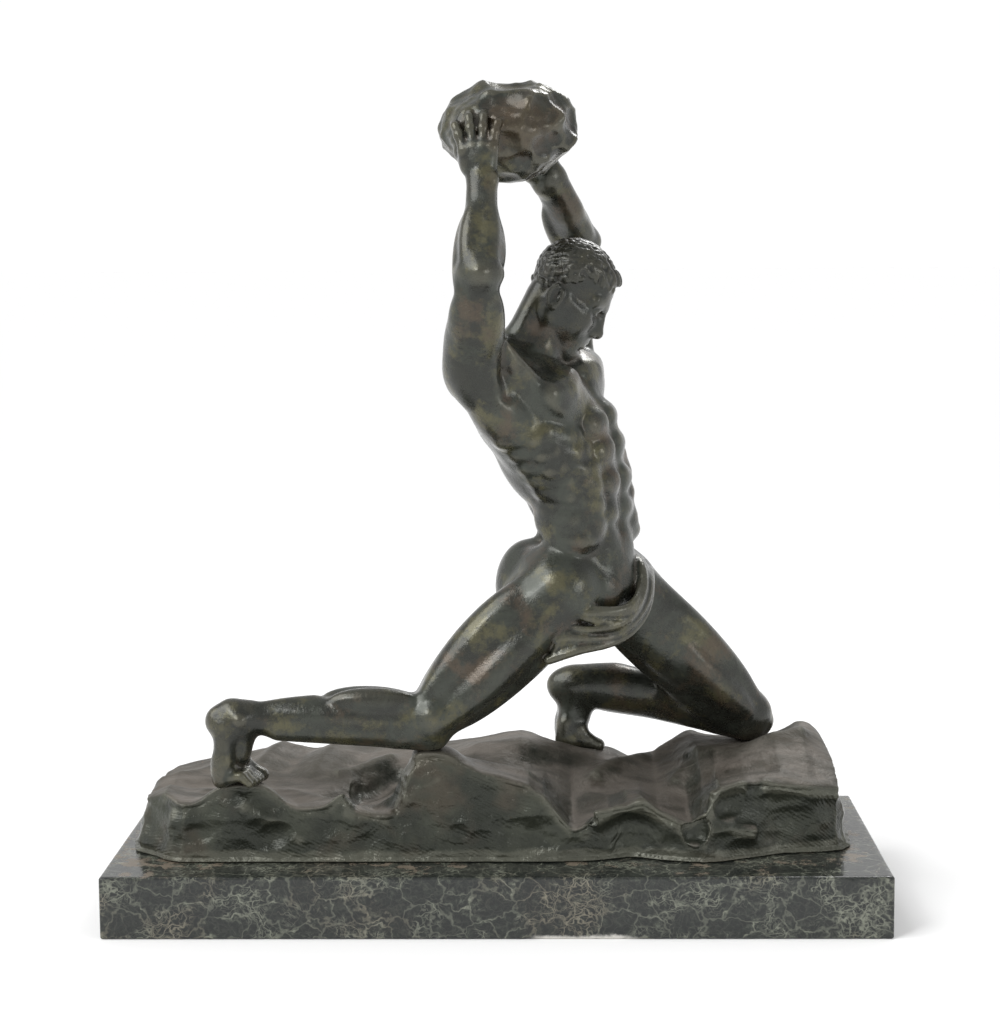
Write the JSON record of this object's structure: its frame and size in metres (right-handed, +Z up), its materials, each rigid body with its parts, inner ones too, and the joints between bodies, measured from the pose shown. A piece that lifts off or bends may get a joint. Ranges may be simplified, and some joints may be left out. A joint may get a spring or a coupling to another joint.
{
  "type": "bronze figure",
  "caption": "Bronze man kneeling on rocky ground, a loincloth round his hips, lifting a boulder over his head, on a green marble plinth.",
  "frame": {"origin": "middle of the plinth's underside", "axes": "+Z up, +X the way the man faces, -Y the side that the picture shows"},
  "size_m": [0.5, 0.21, 0.5398],
  "materials": {
    "green_marble": "polished near-black green marble with pale veins",
    "earth_bronze": "cast bronze with a dusty brown patina and tool marks",
    "bronze": "cast bronze with a waxed olive-brown patina"
  },
  "bodies": {
    "root": {"plinth": "green_marble", "rock_base": "earth_bronze", "figure": "bronze"}
  },
  "joints": []
}
